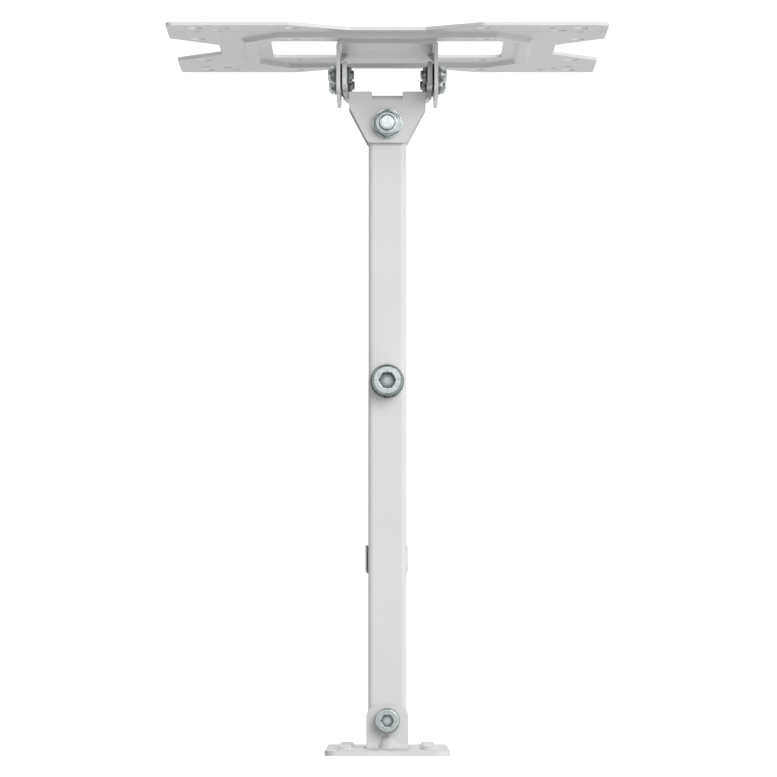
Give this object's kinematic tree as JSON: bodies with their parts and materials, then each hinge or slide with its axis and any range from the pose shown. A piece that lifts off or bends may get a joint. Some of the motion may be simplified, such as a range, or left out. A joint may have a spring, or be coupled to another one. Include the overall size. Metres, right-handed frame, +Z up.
{
  "type": "full-motion tv wall mount",
  "caption": "White steel swing-arm wall mount: two stacked tube arms, wall swivel, elbow, head swivel and tilt, and a pressed plate with standard screen holes.",
  "frame": {"origin": "centre of the four wall anchor holes, on the back face of the wall plate", "axes": "-Y out from the wall into the room with the arms straight, +Z up, X across; the screen plate faces -Y"},
  "size_m": [0.229, 0.3774, 0.244],
  "materials": {
    "white_paint": "satin white powder coat, fine orange peel",
    "zinc": "bright blue-white zinc plate",
    "dark_steel": "dark phosphated spring steel",
    "black_nylon": "matte black nylon",
    "white_plastic": "smooth moulded white plastic"
  },
  "bodies": {
    "wall_bracket": {"wall_plate": "white_paint", "wall_pivot_screw": "zinc", "wall_pivot_washers": "black_nylon", "wall_pivot_nut": "zinc"},
    "wall_arm": {"wall_arm": "white_paint", "wall_arm_sleeves": "zinc", "wall_arm_plugs": "white_plastic", "cable_clip": "white_plastic", "elbow_screw": "zinc", "elbow_spring_washer": "dark_steel", "elbow_spacer": "black_nylon", "elbow_washer": "zinc", "elbow_nut": "zinc"},
    "forearm": {"forearm": "white_paint", "forearm_sleeves": "zinc", "forearm_plugs": "white_plastic"},
    "yoke": {"swivel_yoke": "white_paint", "head_bolt": "zinc", "head_washers": "zinc", "head_spacers": "black_nylon", "head_nut": "zinc", "tilt_screws": "zinc", "tilt_head_washers": "dark_steel", "tilt_friction_washers": "black_nylon", "tilt_flat_washers": "zinc", "tilt_nuts": "zinc"},
    "screen_head": {"tilt_channel": "white_paint", "screen_plate": "white_paint"}
  },
  "joints": [
    {"name": "wall_swivel", "type": "hinge", "parent": "wall_bracket", "child": "wall_arm", "pos_m": [0, -0.017, 0], "axis": [0, 0, 1], "range_deg": [-90, 90]},
    {"name": "elbow", "type": "hinge", "parent": "wall_arm", "child": "forearm", "pos_m": [0, -0.195, -0.031], "axis": [0, 0, -1], "range_deg": [-105, 105]},
    {"name": "head_swivel", "type": "hinge", "parent": "forearm", "child": "yoke", "pos_m": [0, -0.3344, -0.031], "axis": [0, 0, 1], "range_deg": [-90, 90]},
    {"name": "tilt", "type": "hinge", "parent": "yoke", "child": "screen_head", "pos_m": [0, -0.3591, -0.058], "axis": [1, 0, 0], "range_deg": [-3, 7]}
  ]
}
